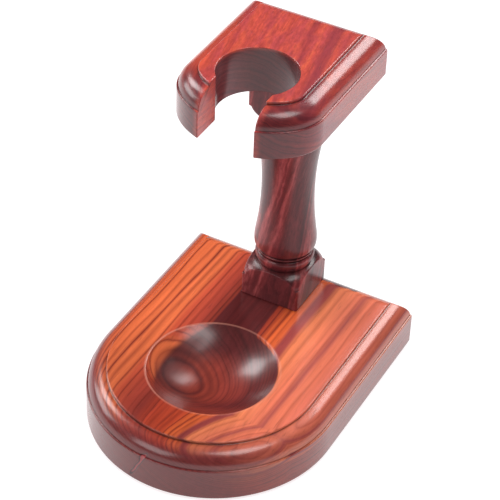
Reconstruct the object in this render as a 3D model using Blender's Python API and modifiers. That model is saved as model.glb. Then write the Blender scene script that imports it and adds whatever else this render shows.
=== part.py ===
"""Wooden stand for hanging a shaving brush or razor: a dished base board, a turned post, and a slotted top plate.

Frame: the origin is under the middle of the stand, at the underside of the feet. The round front faces -Y and the
straight back edge faces +Y. All sizes are in metres.
"""

import math

import bmesh
import bpy

# Base board
BASE_WIDTH = 0.0900
BASE_LENGTH = 0.1128
BASE_FRONT_DEPTH = 0.0460
BASE_BOTTOM = 0.0008
BASE_ARRIS = 0.0134
BASE_TOP = 0.0206

# Top plate
PLATE_WIDTH = 0.0523
PLATE_LENGTH = 0.0682
PLATE_FRONT_DEPTH = 0.0197
PLATE_BOTTOM = 0.1125
PLATE_ARRIS = 0.1229
PLATE_TOP = 0.1300

# Edge moulding that both boards share: a square step, a quarter round and a narrow ledge
MOULDING_INSET = 0.0071
STEP_DEPTH = 0.0013
LEDGE_WIDTH = 0.0006
BACK_ROUND = 0.0095
MOULDING_STEPS = 9

# Hanging hole and its open mouth
HOLE_RADIUS = 0.01385
MOUTH_WIDTH = 0.0204

# Dish in the base
DISH_RIM_RADIUS = 0.0234
DISH_DEPTH = 0.0080

# Post
POST_SIDE = 0.0226
BLOCK_HEIGHT = 0.0088
GAP = 0.0003

# Screw, washer and dowel that hold the stand together
SCREW_RADIUS = 0.0020
SCREW_LENGTH = 0.0300
HEAD_RADIUS = 0.0038
HEAD_HEIGHT = 0.0026
WASHER_RADIUS = 0.0050
WASHER_THICKNESS = 0.0010
COUNTERBORE_RADIUS = 0.0056
COUNTERBORE_DEPTH = 0.0060
DOWEL_RADIUS = 0.0040
DOWEL_LENGTH = 0.0220

# Feet
FOOT_RADIUS = 0.0045
FOOT_THICKNESS = 0.0022
FOOT_RECESS = 0.0017

# Positions along the centre line x = 0. The two boards' back edges are flush.
BACK = BASE_LENGTH / 2
POST_Y = BACK - 0.0170
HOLE_Y = BACK - 0.0438
DISH_Y = BACK - 0.0691

WOOD_COLOURS = {
    "base_wood": (0.42, 0.13, 0.055, 1.0),
    "post_wood": (0.12, 0.025, 0.022, 1.0),
    "plate_wood": (0.33, 0.065, 0.045, 1.0),
}


def clear_scene():
    for item in list(bpy.data.objects):
        bpy.data.objects.remove(item, do_unlink=True)


def new_collection(name):
    collection = bpy.data.collections.new(name)
    bpy.context.scene.collection.children.link(collection)
    return collection


def material(name, colour, roughness, metallic=0.0):
    made = bpy.data.materials.new(name)
    made.use_nodes = True
    shader = made.node_tree.nodes["Principled BSDF"]
    shader.inputs["Base Color"].default_value = colour
    shader.inputs["Roughness"].default_value = roughness
    shader.inputs["Metallic"].default_value = metallic
    return made


def add_mesh(name, mesh, collection, finish=None):
    obj = bpy.data.objects.new(name, mesh)
    collection.objects.link(obj)
    if finish:
        mesh.materials.append(finish)
    return obj


def add_cutter(name, mesh):
    obj = add_mesh(name, mesh, cutters)
    obj.hide_render = True
    obj.display_type = "WIRE"
    return obj


def cut(target, cutter, operation="DIFFERENCE"):
    modifier = target.modifiers.new(f"{operation.lower()}_{cutter.name}", "BOOLEAN")
    modifier.object = cutter
    modifier.operation = operation
    modifier.solver = "EXACT"


def smooth_by_angle(mesh, degrees=32.0):
    """Shades the mesh smooth, with its sharp edges marked."""
    shaped = bmesh.new()
    shaped.from_mesh(mesh)
    for face in shaped.faces:
        face.smooth = True
    for edge in shaped.edges:
        edge.smooth = len(edge.link_faces) == 2 and edge.calc_face_angle(0.0) < math.radians(degrees)
    shaped.to_mesh(mesh)
    shaped.free()


def box_mesh(name, low, high):
    """A box between two opposite corners."""
    mesh = bpy.data.meshes.new(name)
    shaped = bmesh.new()
    bmesh.ops.create_cube(shaped, size=1.0)
    for vertex in shaped.verts:
        vertex.co = [low[i] + (vertex.co[i] + 0.5) * (high[i] - low[i]) for i in range(3)]
    shaped.to_mesh(mesh)
    shaped.free()
    return mesh


def drill(name, x, y, low, high, radius, sides=48):
    """A cutter for a round hole between two heights."""
    mesh = bpy.data.meshes.new(name)
    shaped = bmesh.new()
    bmesh.ops.create_cone(
        shaped, cap_ends=True, segments=sides, radius1=radius, radius2=radius, depth=high - low
    )
    bmesh.ops.translate(shaped, verts=shaped.verts, vec=(x, y, (low + high) / 2))
    shaped.to_mesh(mesh)
    shaped.free()
    return add_cutter(name, mesh)


def turned(name, profile, x, y, collection, steps, finish=None):
    """A solid of revolution about a vertical line. The profile is (radius, height) from its top to its bottom."""
    mesh = bpy.data.meshes.new(name)
    mesh.from_pydata([(r, 0.0, z) for r, z in profile], [(i, i + 1) for i in range(len(profile) - 1)], [])
    obj = add_mesh(name, mesh, collection, finish)
    obj.location = (x, y, 0.0)
    screw = obj.modifiers.new("turn", "SCREW")
    screw.steps = steps
    screw.render_steps = steps
    screw.use_merge_vertices = True
    screw.merge_threshold = 0.00001
    screw.use_smooth_shade = True
    return obj


def board_outline(width, length, front_depth, inset, back, z, side_points=5, front_points=72):
    """Points round a board with a straight back and an elliptical front, from the back right corner forwards."""
    half = width / 2 - inset
    depth = front_depth - inset
    centre = BACK - length + front_depth
    points = []
    for i in range(side_points):
        points.append((half, back + (centre - back) * i / side_points, z))
    for i in range(front_points + 1):
        angle = math.pi * i / front_points
        points.append((half * math.cos(angle), centre - depth * math.sin(angle), z))
    for i in range(1, side_points + 1):
        points.append((-half, centre + (back - centre) * i / side_points, z))
    return points


def moulded_board(name, width, length, front_depth, bottom, arris, top, finish):
    """A board whose top edge has a step and a quarter round on the sides and front, and a plain round at the back."""
    round_top = top - STEP_DEPTH
    levels = [(0.0, bottom), (0.0, arris), (LEDGE_WIDTH, arris + 0.0001)]
    for i in range(1, MOULDING_STEPS + 1):
        angle = math.pi / 2 * i / MOULDING_STEPS
        inset = MOULDING_INSET - (MOULDING_INSET - LEDGE_WIDTH) * math.cos(angle)
        levels.append((inset, arris + (round_top - arris) * math.sin(angle)))
    levels += [(MOULDING_INSET + 0.0001, top - 0.0003), (MOULDING_INSET + 0.0004, top)]

    shaped = bmesh.new()
    rings = []
    for inset, z in levels:
        below = min(max(top - z, 0.0), BACK_ROUND)
        back = BACK - BACK_ROUND + math.sqrt(BACK_ROUND**2 - (BACK_ROUND - below) ** 2)
        outline = board_outline(width, length, front_depth, inset, back, z)
        rings.append([shaped.verts.new(point) for point in outline])
    for lower, upper in zip(rings, rings[1:]):
        for i in range(len(lower)):
            j = (i + 1) % len(lower)
            shaped.faces.new((lower[j], lower[i], upper[i], upper[j]))
    shaped.faces.new(rings[0])
    shaped.faces.new(reversed(rings[-1]))
    bmesh.ops.recalc_face_normals(shaped, faces=shaped.faces)
    mesh = bpy.data.meshes.new(name)
    shaped.to_mesh(mesh)
    shaped.free()
    smooth_by_angle(mesh)
    return add_mesh(name, mesh, parts, finish)


def make_base():
    base = moulded_board(
        "base_board", BASE_WIDTH, BASE_LENGTH, BASE_FRONT_DEPTH, BASE_BOTTOM, BASE_ARRIS, BASE_TOP, base_wood
    )
    sphere = (DISH_RIM_RADIUS**2 + DISH_DEPTH**2) / (2 * DISH_DEPTH)
    centre = BASE_TOP + sphere - DISH_DEPTH
    profile = [(0.0, centre)]
    edge_angle = math.asin(DISH_RIM_RADIUS / sphere) + 0.06
    for i in range(15):
        angle = edge_angle * (1 - i / 14)
        profile.append((sphere * math.sin(angle), centre - sphere * math.cos(angle)))
    cut(base, turned("dish_cutter", profile, 0.0, DISH_Y, cutters, 64))
    cutters.objects["dish_cutter"].hide_render = True
    cutters.objects["dish_cutter"].display_type = "WIRE"
    below = BASE_BOTTOM - 0.001
    cut(base, drill("screw_clearance", 0.0, POST_Y, below, BASE_TOP + 0.001, SCREW_RADIUS + GAP))
    cut(
        base,
        drill("counterbore", 0.0, POST_Y, below, BASE_BOTTOM + COUNTERBORE_DEPTH, COUNTERBORE_RADIUS),
    )
    for name, x, y in foot_places:
        cut(base, drill(f"{name}_recess", x, y, below, BASE_BOTTOM + FOOT_RECESS, FOOT_RADIUS + GAP, 40))
    return base


def post_profile(bottom, top):
    """(radius, height) of the turned post from top to bottom. Its two ends mirror each other."""
    half_end = [
        (0.0160, 0.0),
        (0.0160, BLOCK_HEIGHT),
        (0.0149, BLOCK_HEIGHT + 0.00010),
        (0.01478, 0.0095),
        (0.01435, 0.0105),
        (0.01360, 0.0115),
        (0.01260, 0.0124),
        (0.01130, 0.0132),
        (0.01045, 0.0136),
        (0.00985, 0.0137),
        (0.00995, 0.0143),
        (0.01035, 0.0149),
        (0.01060, 0.0156),
        (0.01070, 0.0164),
        (0.01055, 0.0172),
        (0.01015, 0.0178),
        (0.00955, 0.0181),
        (0.00955, 0.0185),
        (0.01020, 0.0187),
        (0.01035, 0.0191),
        (0.01020, 0.0195),
        (0.00990, 0.0197),
        (0.01030, 0.0200),
        (0.01085, 0.0206),
        (0.01108, 0.0213),
        (0.01122, 0.0223),
        (0.01125, 0.0233),
        (0.01117, 0.0247),
        (0.01093, 0.0265),
        (0.01060, 0.0288),
        (0.01022, 0.0318),
        (0.00985, 0.0355),
        (0.00958, 0.0398),
        (0.00946, 0.0440),
    ]
    middle = (top - bottom) / 2
    lower = [(0.0, bottom)] + [(r, bottom + z) for r, z in half_end]
    upper = [(0.0, top)] + [(r, top - z) for r, z in half_end]
    return upper + [(0.00945, bottom + middle)] + lower[::-1]


def make_post():
    bottom = BASE_TOP + GAP
    top = PLATE_BOTTOM - GAP
    half = POST_SIDE / 2
    post = turned("post", post_profile(bottom, top), 0.0, POST_Y, parts, 64, post_wood)
    blank = add_cutter(
        "square_blank",
        box_mesh("square_blank", (-half, POST_Y - half, bottom - 0.001), (half, POST_Y + half, top + 0.001)),
    )
    corners = blank.modifiers.new("soft_corners", "BEVEL")
    corners.width = 0.0007
    corners.segments = 2
    cut(post, blank, "INTERSECT")
    screw_end = bottom + SCREW_LENGTH - (BASE_TOP - BASE_BOTTOM - COUNTERBORE_DEPTH)
    cut(post, drill("screw_pilot", 0.0, POST_Y, bottom - 0.001, screw_end, SCREW_RADIUS + GAP))
    dowel_end = PLATE_BOTTOM - DOWEL_LENGTH / 2 - 0.0010
    cut(post, drill("dowel_hole_post", 0.0, POST_Y, dowel_end, top + 0.001, DOWEL_RADIUS + GAP))
    return post


def make_plate():
    plate = moulded_board(
        "top_plate", PLATE_WIDTH, PLATE_LENGTH, PLATE_FRONT_DEPTH, PLATE_BOTTOM, PLATE_ARRIS, PLATE_TOP, plate_wood
    )
    cut(plate, drill("hanging_hole", 0.0, HOLE_Y, PLATE_BOTTOM - 0.002, PLATE_TOP + 0.002, HOLE_RADIUS, 72))
    mouth = box_mesh(
        "open_mouth",
        (-MOUTH_WIDTH / 2, BACK - PLATE_LENGTH - 0.005, PLATE_BOTTOM - 0.002),
        (MOUTH_WIDTH / 2, HOLE_Y, PLATE_TOP + 0.002),
    )
    cut(plate, add_cutter("open_mouth", mouth))
    dowel_top = PLATE_BOTTOM + DOWEL_LENGTH / 2 + 0.0010
    cut(plate, drill("dowel_hole_plate", 0.0, POST_Y, PLATE_BOTTOM - 0.001, dowel_top, DOWEL_RADIUS + GAP))
    return plate


def make_hardware():
    seat = BASE_BOTTOM + COUNTERBORE_DEPTH
    washer_top = seat - GAP
    washer_bottom = washer_top - WASHER_THICKNESS
    turned(
        "screw_washer",
        [
            (SCREW_RADIUS + GAP, washer_top),
            (WASHER_RADIUS - 0.0001, washer_top),
            (WASHER_RADIUS, washer_top - 0.0001),
            (WASHER_RADIUS, washer_bottom + 0.0001),
            (WASHER_RADIUS - 0.0001, washer_bottom),
            (SCREW_RADIUS + GAP, washer_bottom),
            (SCREW_RADIUS + GAP, washer_top),
        ],
        0.0,
        POST_Y,
        parts,
        48,
        steel,
    )

    head_top = washer_bottom - GAP
    head_bottom = head_top - HEAD_HEIGHT
    tip = head_top + SCREW_LENGTH
    profile = [(0.0, tip), (0.0006, tip - 0.0005), (SCREW_RADIUS, tip - 0.0040), (SCREW_RADIUS, head_top)]
    profile += [(HEAD_RADIUS, head_top)]
    for i in range(1, 6):
        angle = math.pi / 2 * i / 6
        profile.append(
            (
                HEAD_RADIUS - 0.0014 * (1 - math.cos(angle)),
                head_top - HEAD_HEIGHT * math.sin(angle),
            )
        )
    profile += [(HEAD_RADIUS - 0.0014, head_bottom), (0.0, head_bottom)]
    screw = turned("post_screw", profile, 0.0, POST_Y, parts, 40, steel)
    arm, thick, deep = 0.0020, 0.0004, 0.0014
    for name, x, y in (("drive_slot_x", arm, thick), ("drive_slot_y", thick, arm)):
        slot = box_mesh(name, (-x, POST_Y - y, head_bottom - 0.001), (x, POST_Y + y, head_bottom + deep))
        cut(screw, add_cutter(name, slot))

    middle = PLATE_BOTTOM - GAP / 2
    end = DOWEL_LENGTH / 2
    chamfer = 0.0006
    turned(
        "plate_dowel",
        [
            (0.0, middle + end),
            (DOWEL_RADIUS - chamfer, middle + end),
            (DOWEL_RADIUS, middle + end - chamfer),
            (DOWEL_RADIUS, middle - end + chamfer),
            (DOWEL_RADIUS - chamfer, middle - end),
            (0.0, middle - end),
        ],
        0.0,
        POST_Y,
        parts,
        40,
        dowel_wood,
    )


def make_feet():
    for name, x, y in foot_places:
        turned(
            name,
            [
                (0.0, FOOT_THICKNESS),
                (FOOT_RADIUS, FOOT_THICKNESS),
                (FOOT_RADIUS, 0.0003),
                (FOOT_RADIUS - 0.0003, 0.0),
                (0.0, 0.0),
            ],
            x,
            y,
            parts,
            36,
            foot_felt,
        )


clear_scene()
parts = new_collection("shaving_stand")
cutters = new_collection("cutters")

base_wood = material("base_wood", WOOD_COLOURS["base_wood"], 0.32)
post_wood = material("post_wood", WOOD_COLOURS["post_wood"], 0.30)
plate_wood = material("plate_wood", WOOD_COLOURS["plate_wood"], 0.32)
dowel_wood = material("dowel_wood", (0.62, 0.45, 0.27, 1.0), 0.6)
steel = material("steel", (0.62, 0.62, 0.63, 1.0), 0.35, 1.0)
foot_felt = material("foot_felt", (0.05, 0.045, 0.045, 1.0), 0.9)

foot_places = [
    ("foot_back_left", -0.0340, BACK - 0.0120),
    ("foot_back_right", 0.0340, BACK - 0.0120),
    ("foot_front_left", -0.0270, BACK - 0.0860),
    ("foot_front_right", 0.0270, BACK - 0.0860),
]

make_base()
make_post()
make_plate()
make_hardware()
make_feet()
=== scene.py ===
"""A rosewood stand that hangs a shaving brush or razor over a dished board.

Metres, +Z up, the round front faces -Y. The grain of each piece is laid out in millimetres of its own
coordinates, so a growth layer runs on from the flat top into the dish, the mouldings and the sides.
"""

import math
from collections import namedtuple

import bmesh
import bpy
import numpy as np
from mathutils import Matrix, Vector


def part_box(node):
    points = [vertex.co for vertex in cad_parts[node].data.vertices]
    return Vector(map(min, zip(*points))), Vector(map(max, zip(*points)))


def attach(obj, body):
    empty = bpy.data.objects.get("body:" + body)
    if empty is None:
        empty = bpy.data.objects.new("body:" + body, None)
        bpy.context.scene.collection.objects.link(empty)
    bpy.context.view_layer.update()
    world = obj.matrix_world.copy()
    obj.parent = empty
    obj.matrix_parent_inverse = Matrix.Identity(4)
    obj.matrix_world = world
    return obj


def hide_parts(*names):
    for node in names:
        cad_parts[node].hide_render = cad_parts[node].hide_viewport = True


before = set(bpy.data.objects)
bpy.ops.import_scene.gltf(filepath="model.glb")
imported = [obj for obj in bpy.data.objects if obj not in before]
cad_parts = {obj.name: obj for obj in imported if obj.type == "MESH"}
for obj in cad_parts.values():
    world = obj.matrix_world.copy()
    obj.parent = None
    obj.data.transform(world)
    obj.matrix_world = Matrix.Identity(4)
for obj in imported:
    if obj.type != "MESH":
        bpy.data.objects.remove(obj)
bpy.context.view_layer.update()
MM = 0.001
MERGE = 1e-7  # points closer than this are one point

# ------------------------------------------------------------------ sizes
Board = namedtuple("Board", "width length front_depth bottom arris top back crown crown_width")


def board_sizes(node, front_depth, side_height, crown, crown_width):
    """A board's box from the frame, with its round front, plain side and slightly crowned top."""
    low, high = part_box(node)
    return Board(
        width=high.x - low.x,
        length=high.y - low.y,
        front_depth=front_depth,
        bottom=low.z,
        arris=low.z + side_height,
        top=high.z,
        back=high.y,
        crown=crown,
        crown_width=crown_width,
    )


BASE = board_sizes("base_board", 0.0460, 0.0126, 0.00012, 0.0034)
PLATE = board_sizes("top_plate", 0.0197, 0.0104, 0.00004, 0.0012)
post_low, post_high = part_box("post")
screw_low, screw_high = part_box("post_screw")
washer_low, washer_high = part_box("screw_washer")
dowel_low, dowel_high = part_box("plate_dowel")
FEET = ("foot_front_left", "foot_front_right", "foot_back_left", "foot_back_right")

POST_Y = (post_low.y + post_high.y) / 2
POST_HALF = (post_high.x - post_low.x) / 2

MOULDING_INSET = 0.0071
STEP_DEPTH = 0.0013
LEDGE_WIDTH = 0.0006
BACK_ROUND = 0.0095
FOOT_ARRIS = 0.0005
LEDGE_ARRIS = 0.00035
SHOULDER_ARRIS = 0.00035
CORNER_ROUND = 0.00045

HOLE_RADIUS = 0.01385
HOLE_Y = PLATE.back - 0.0438
MOUTH_HALF = 0.0102
RIM_EASE = 0.00030
CHEEK_CORNER = 0.0008

DISH_Y = BASE.back - 0.0691
DISH_RADIUS = 0.0234
DISH_DEPTH = 0.0080
DISH_RIM_EASE = 0.0008

SCREW_HOLE = 0.0023
PILOT_PAST_TIP = 0.0019
WASHER_SEAT = 0.0056
DOWEL_HOLE = 0.0043
DOWEL_HOLE_PAST_END = 0.0010
CLEARANCE = 0.0003
DRILL_PAST = 0.001
DRILL_SIDES = 56


def srgb(red, green, blue):
    """A colour given as 0 to 255 in display values, made linear."""
    shares = [value / 255 for value in (red, green, blue)]
    return (*[((v + 0.055) / 1.055) ** 2.4 if v > 0.04 else v / 12.92 for v in shares], 1.0)


def quarter_turn(steps, first=0):
    """Angles from nought to a right angle in even steps."""
    return [math.pi / 2 * i / steps for i in range(first, steps + 1)]


# ------------------------------------------------------------------ node writing
class Graph:
    """Writes a node tree: every method adds nodes and hands back the socket that carries the result."""

    def __init__(self, tree):
        self.tree = tree

    def put(self, socket, value):
        if isinstance(value, bpy.types.NodeSocket):
            self.tree.links.new(value, socket)
        elif value is not None:
            socket.default_value = value

    def add(self, kind, inputs=(), **settings):
        node = self.tree.nodes.new(kind)
        for key, value in settings.items():
            setattr(node, key, value)
        pairs = inputs.items() if isinstance(inputs, dict) else enumerate(inputs)
        for key, value in pairs:
            self.put(node.inputs[key], value)
        return node

    def maths(self, operation, *values, clamp=False):
        return self.add("ShaderNodeMath", values, operation=operation, use_clamp=clamp).outputs[0]

    def vector(self, operation, *values):
        node = self.add("ShaderNodeVectorMath", operation=operation)
        for socket, value in zip(node.inputs, values):
            self.put(socket, value)
        return node.outputs[0]

    def times(self, a, b):
        return self.maths("MULTIPLY", a, b)

    def plus(self, *values):
        total = values[0]
        for value in values[1:]:
            total = self.maths("ADD", total, value)
        return total

    def less(self, a, b):
        return self.maths("SUBTRACT", a, b)

    def size(self, value):
        return self.maths("ABSOLUTE", value)

    def distance(self, x, y):
        return self.maths("SQRT", self.plus(self.times(x, x), self.times(y, y)))

    def split(self, vector):
        return self.add("ShaderNodeSeparateXYZ", [vector]).outputs

    def join(self, x, y, z):
        return self.add("ShaderNodeCombineXYZ", [x, y, z]).outputs[0]

    def between(self, value, low, high, to_low=0.0, to_high=1.0, smooth=True):
        """Value carried from one range to another, held at its ends."""
        node = self.add("ShaderNodeMapRange", interpolation_type="SMOOTHSTEP" if smooth else "LINEAR")
        for name, given in (
            ("Value", value),
            ("From Min", low),
            ("From Max", high),
            ("To Min", to_low),
            ("To Max", to_high),
        ):
            self.put(node.inputs[name], given)
        return node.outputs[0]


class Finish(Graph):
    """A material with one Principled shader and the patterns that wood, metal and felt need.

    Patterns are laid out in millimetres: straight as the piece stands, or turned with the grain."""

    def __init__(self, name, turn=None, **constants):
        self.material = bpy.data.materials.new(name)
        self.material.use_nodes = True
        super().__init__(self.material.node_tree)
        self.shader = self.tree.nodes["Principled BSDF"]
        for socket, value in constants.items():
            self.shader.inputs[socket.replace("_", " ")].default_value = value
        self.straight = self.scaled(self.add("ShaderNodeTexCoord").outputs["Object"], 1 / MM)
        self.at = self.straight
        if turn is not None:
            self.at = self.mapped(turn=turn)

    def set(self, socket, value):
        self.put(self.shader.inputs[socket], value)

    def scaled(self, value, amount):
        """A place or a colour multiplied by a factor that may vary."""
        node = self.add("ShaderNodeVectorMath", [value], operation="SCALE")
        self.put(node.inputs["Scale"], amount)
        return node.outputs[0]

    def mapped(self, scale=(1.0, 1.0, 1.0), turn=(0.0, 0.0, 0.0)):
        node = self.add("ShaderNodeMapping", {"Vector": self.at}, vector_type="POINT")
        node.inputs["Rotation"].default_value = [math.radians(a) for a in turn]
        node.inputs["Scale"].default_value = scale
        return node.outputs[0]

    def noise(self, scale, detail=2.0, roughness=0.5):
        """Soft noise, drawn out along the axis that has the smallest scale."""
        inputs = {"Vector": self.mapped(scale), "Scale": 1.0, "Detail": detail, "Roughness": roughness}
        return self.add("ShaderNodeTexNoise", inputs, noise_dimensions="3D").outputs[0]

    def sway(self, scale, detail=2.0, roughness=0.5):
        """Soft noise that swings either side of nought."""
        return self.less(self.noise(scale, detail, roughness), 0.5)

    def noise_along(self, value, scale, detail=2.0, roughness=0.5):
        """Noise that changes only with one value, such as the growth layer."""
        inputs = {"W": value, "Scale": scale, "Detail": detail, "Roughness": roughness}
        return self.add("ShaderNodeTexNoise", inputs, noise_dimensions="1D").outputs[0]

    def ramp(self, value, stops):
        """Colours, or greys given as plain numbers, blended between their stops."""
        node = self.add("ShaderNodeValToRGB", [value])
        ramp = node.color_ramp
        while len(ramp.elements) < len(stops):
            ramp.elements.new(0.5)
        for element, (place, colour) in zip(ramp.elements, stops):
            element.position = place
            element.color = colour if isinstance(colour, tuple) else (colour, colour, colour, 1.0)
        return node.outputs[0]

    def mix(self, factor, a, b):
        node = self.add("ShaderNodeMix", data_type="RGBA", blend_type="MIX")
        for index, value in ((0, factor), (6, a), (7, b)):
            self.put(node.inputs[index], value)
        return node.outputs[2]

    def attribute(self, name):
        return self.add("ShaderNodeAttribute", attribute_name=name).outputs["Fac"]

    def facing(self, axis):
        """How squarely the surface faces along one axis, either way."""
        normal = self.add("ShaderNodeTexCoord").outputs["Normal"]
        return self.size(self.split(normal)[axis])

    def relief(self, height, depth, strength):
        bump = self.add("ShaderNodeBump", {"Strength": strength, "Distance": depth, "Height": height})
        return bump.outputs["Normal"]


# ------------------------------------------------------------------ wood, metal and felt
LACQUER = {
    "Specular_IOR_Level": 0.12,
    "Coat_Weight": 1.0,
    "Coat_Roughness": 0.22,
    "Coat_IOR": 1.5,
}
THIN_LACQUER = {**LACQUER, "Coat_Weight": 0.6}
ALONG_Y, ALONG_Z = 1, 2
PORE_DEPTH = 0.00006

# the base's colours by how far across its top (mm) they lie, with a maroon streak from 15 to 17
BASE_ACROSS = 45.0
BASE_ZONES = (
    (-45.00, (228, 106, 58)),
    (-25.65, (236, 116, 66)),
    (-22.50, (206, 84, 54)),
    (-16.65, (182, 68, 50)),
    (-11.70, (150, 54, 44)),
    (-7.20, (190, 66, 40)),
    (4.95, (198, 72, 40)),
    (8.10, (222, 98, 48)),
    (13.05, (224, 102, 52)),
    (14.85, (146, 60, 58)),
    (17.10, (150, 62, 58)),
    (18.90, (228, 126, 82)),
    (27.00, (220, 114, 84)),
    (28.98, (160, 74, 66)),
    (31.05, (222, 116, 84)),
    (36.00, (206, 102, 78)),
    (45.00, (210, 94, 60)),
)
LAYER_SLOPE = 0.30
LAYER_PERIOD = 0.92

# the plate's purple streaks: how far across (mm), half width, half width at full strength, strength
PLATE_STREAKS = ((20.6, 3.2, 0.8, 0.65), (12.3, 1.8, 0.3, 0.36))


def fibre_and_pores(g, along):
    """Fine silky fibre and short dark pores, both drawn out along one axis."""
    silk, fine = [0.55] * 3, [1.5] * 3
    silk[along], fine[along] = 0.035, 0.11
    fibre = g.noise(silk, detail=4.0, roughness=0.65)
    pores = g.between(g.noise(fine, roughness=0.6), 0.60, 0.74)
    return fibre, pores


def finish_wood(g, colour, along, end_shade, line=None):
    """Fibre, pores, darker end grain and painted shade in the corners laid over a wood's colour."""
    fibre, pores = fibre_and_pores(g, along)
    crease = g.attribute("crease")
    tone = g.between(fibre, 0.3, 0.7, 0.86, 1.12, smooth=False)
    tone = g.times(tone, g.between(pores, 0.0, 1.0, 1.0, 0.78, smooth=False))
    tone = g.times(tone, g.between(g.facing(along), 0.25, 1.0, 1.0, end_shade))
    # painted shade: the crease attribute darkens the wood in inner corners and grooves
    tone = g.times(tone, g.between(crease, 0.0, 1.0, 1.0, 0.45, smooth=False))
    g.set("Base Color", g.scaled(colour, tone))
    rough = g.between(fibre, 0.3, 0.7, 0.36, 0.46, smooth=False)
    g.set("Roughness", g.plus(rough, g.times(crease, 0.2), g.times(pores, 0.1)))
    height = g.less(g.times(fibre, 0.4), pores)
    if line is not None:
        height = g.less(height, g.times(line, 0.35))
    g.set("Normal", g.relief(height, PORE_DEPTH, 0.55))


def patches(g, layers, shift, scale, low, high, weakest):
    """A strength that differs from one run of growth layers to the next."""
    noise = g.noise_along(g.plus(layers, shift), scale, detail=1.0)
    return g.between(noise, low, high, weakest, 1.0)


def base_layers(g, wander, tremor, depth, from_dish):
    """The growth layers' heights: tilted across the board, bent at its front right and under the dish."""
    x, y, z = g.split(g.at)
    past_right, past_front = [g.maths("MAXIMUM", way, 0.0) for way in (g.plus(x, 8.0), g.less(-30.0, y))]
    under_dish = g.times(g.times(depth, g.less(y, DISH_Y / MM)), g.between(from_dish, 30.0, 22.0))
    return g.plus(
        z,
        g.times(x, LAYER_SLOPE),
        g.times(wander, 1.3),
        g.times(tremor, 0.45),
        g.times(g.times(past_right, past_front), 0.010),
        g.times(under_dish, 0.020),
    )


def base_top_colour(g, across, ring, layers):
    """Broad zones from orange to red, with a maroon line to each layer that is weaker on the right."""
    places = g.maths("PINGPONG", g.plus(across, BASE_ACROSS), 2 * BASE_ACROSS)
    zones = [((place + BASE_ACROSS) / (2 * BASE_ACROSS), srgb(*colour)) for place, colour in BASE_ZONES]
    colour = g.ramp(g.maths("DIVIDE", places, 2 * BASE_ACROSS), zones)
    line = g.ramp(ring, [(0.0, 1.0), (0.12, 0.62), (0.34, 0.12), (0.66, 0.06), (0.90, 0.60), (1.0, 1.0)])
    strength = patches(g, layers, 40.0, 0.6, 0.36, 0.60, 0.42)
    right = g.between(across, 7.0, 15.0)
    strength = g.times(strength, g.between(right, 0.0, 1.0, 1.0, 0.40))
    strong = g.times(line, strength)
    return g.mix(strong, colour, srgb(126, 40, 28)), line, strong


def heart_colour(g, ring, layers, depth, y):
    """Dark heartwood, banded by its layers and warmer deep in the dish and towards the front."""
    warm = g.maths("MAXIMUM", g.between(depth, 4.5, 7.6, 0.0, 0.8), g.between(y, -20.0, -34.0))
    band = g.ramp(ring, [(0.0, 1.0), (0.2, 0.6), (0.45, 0.0), (0.8, 0.35), (1.0, 1.0)])
    band = g.times(band, patches(g, layers, 90.0, 0.9, 0.36, 0.62, 0.35))
    band = g.times(band, g.between(depth, 0.2, 2.5, 0.45, 0.85))
    pale = g.mix(warm, srgb(90, 32, 34), srgb(146, 56, 45))
    deep = g.mix(warm, srgb(66, 25, 27), srgb(92, 34, 32))
    return g.mix(band, pale, deep)


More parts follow.
